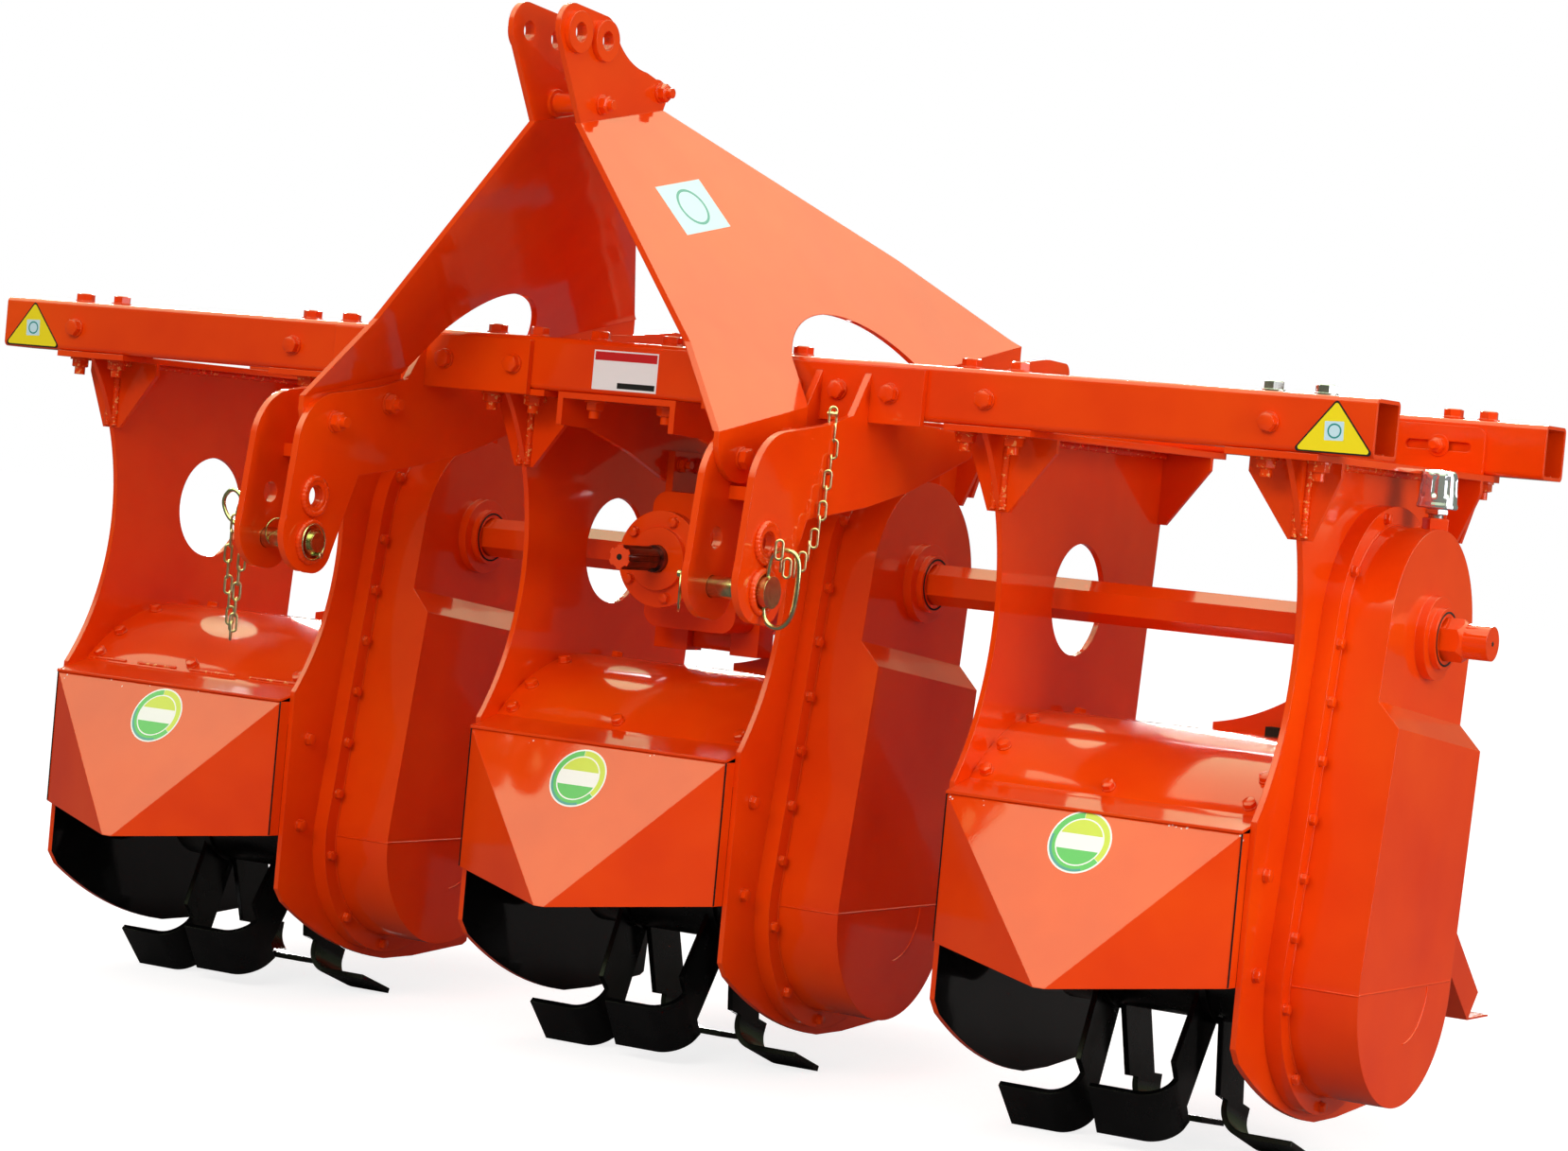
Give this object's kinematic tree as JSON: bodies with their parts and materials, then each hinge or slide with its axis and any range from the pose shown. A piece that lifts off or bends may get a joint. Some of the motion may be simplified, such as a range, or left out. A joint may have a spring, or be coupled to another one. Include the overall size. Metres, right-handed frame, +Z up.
{
  "type": "rotary weeder",
  "caption": "Mounted inter-row rotary weeder: hooded rotors on side plates under twin tool bars, driven from a shaft through side chain cases, with hinged rear boards.",
  "frame": {"origin": "tip of the drive shaft, on the hitch's centre line", "axes": "+X along the tool bars, +Y rearwards away from the tractor, +Z up"},
  "size_m": [2.313, 1.2376, 1.4481],
  "materials": {
    "red_paint": "gloss",
    "black_paint": "satin",
    "bright_steel": "satin",
    "zinc_yellow": "satin",
    "black_rubber": "matte",
    "chrome": "polished"
  },
  "bodies": {
    "frame": {"tube_front": "red_paint", "tube_rear": "red_paint", "hitch_plate_right_inner": "red_paint", "hitch_plate_right_outer": "red_paint", "hitch_plate_left_inner": "red_paint", "hitch_plate_left_outer": "red_paint", "front_pad_left": "red_paint", "clevis_block_left": "red_paint", "hitch_pin_left": "zinc_yellow", "a_frame_left": "red_paint", "ear_doubler_left": "red_paint", "rear_bracket_left": "red_paint", "front_pad_right": "red_paint", "clevis_block_right": "red_paint", "hitch_pin_right": "zinc_yellow", "a_frame_right": "red_paint", "ear_doubler_right": "red_paint", "rear_bracket_right": "red_paint", "mast_spacers": "red_paint", "gearbox": "red_paint", "gearbox_hanger": "red_paint", "side_plate_left_left": "red_paint", "side_plate_right_left": "red_paint", "hood_left": "red_paint", "front_cover_left": "red_paint", "chain_case_left": "red_paint", "hanger_plate_left": "red_paint", "hood_gusset_left": "red_paint", "side_plate_left_middle": "red_paint", "side_plate_right_middle": "red_paint", "hood_middle": "red_paint", "front_cover_middle": "red_paint", "chain_case_middle": "red_paint", "hanger_plate_middle": "red_paint", "hood_gusset_middle": "red_paint", "side_plate_left_right": "red_paint", "side_plate_right_right": "red_paint", "hood_right": "red_paint", "front_cover_right": "red_paint", "chain_case_right": "red_paint", "hanger_plate_right": "red_paint", "hood_gusset_right": "red_paint", "rotor_bearings": "red_paint", "hood_buffers": "black_rubber", "breathers": "chrome"},
    "cross_shaft": {"cross_shaft": "bright_steel"},
    "pto_shaft": {"pto_shaft": "bright_steel"},
    "rotor_left": {"rotor_left": "black_paint", "blades_left": "black_paint"},
    "flap_left": {"flap_left": "red_paint"},
    "rotor_middle": {"rotor_middle": "black_paint", "blades_middle": "black_paint"},
    "flap_middle": {"flap_middle": "red_paint"},
    "rotor_right": {"rotor_right": "black_paint", "blades_right": "black_paint"},
    "flap_right": {"flap_right": "red_paint"}
  },
  "joints": [
    {"name": "rotor_spin_left", "type": "hinge", "parent": "frame", "child": "rotor_left", "pos_m": [0, 0.235, -0.458], "axis": [1, 0, 0], "continuous": true},
    {"name": "rotor_spin_middle", "type": "hinge", "parent": "frame", "child": "rotor_middle", "pos_m": [0, 0.235, -0.458], "axis": [1, 0, 0], "continuous": true},
    {"name": "rotor_spin_right", "type": "hinge", "parent": "frame", "child": "rotor_right", "pos_m": [0, 0.235, -0.458], "axis": [1, 0, 0], "continuous": true},
    {"name": "cross_shaft_spin", "type": "hinge", "parent": "frame", "child": "cross_shaft", "pos_m": [0, 0.288, 0], "axis": [1, 0, 0], "continuous": true},
    {"name": "pto_spin", "type": "hinge", "parent": "frame", "child": "pto_shaft", "pos_m": [0, 0, 0], "axis": [0, 1, 0], "continuous": true},
    {"name": "flap_hinge_left", "type": "hinge", "parent": "frame", "child": "flap_left", "pos_m": [0, 0.44236, -0.22022], "axis": [1, 0, 0], "range_deg": [0, 45]},
    {"name": "flap_hinge_middle", "type": "hinge", "parent": "frame", "child": "flap_middle", "pos_m": [0, 0.44236, -0.22022], "axis": [1, 0, 0], "range_deg": [0, 45]},
    {"name": "flap_hinge_right", "type": "hinge", "parent": "frame", "child": "flap_right", "pos_m": [0, 0.44236, -0.22022], "axis": [1, 0, 0], "range_deg": [0, 45]}
  ],
  "couplings": [
    {"joint": "rotor_spin_left", "follows": "rotor_spin_middle", "ratio": 1},
    {"joint": "rotor_spin_right", "follows": "rotor_spin_middle", "ratio": 1},
    {"joint": "cross_shaft_spin", "follows": "rotor_spin_middle", "ratio": 1.8},
    {"joint": "pto_spin", "follows": "rotor_spin_middle", "ratio": 1.8}
  ]
}
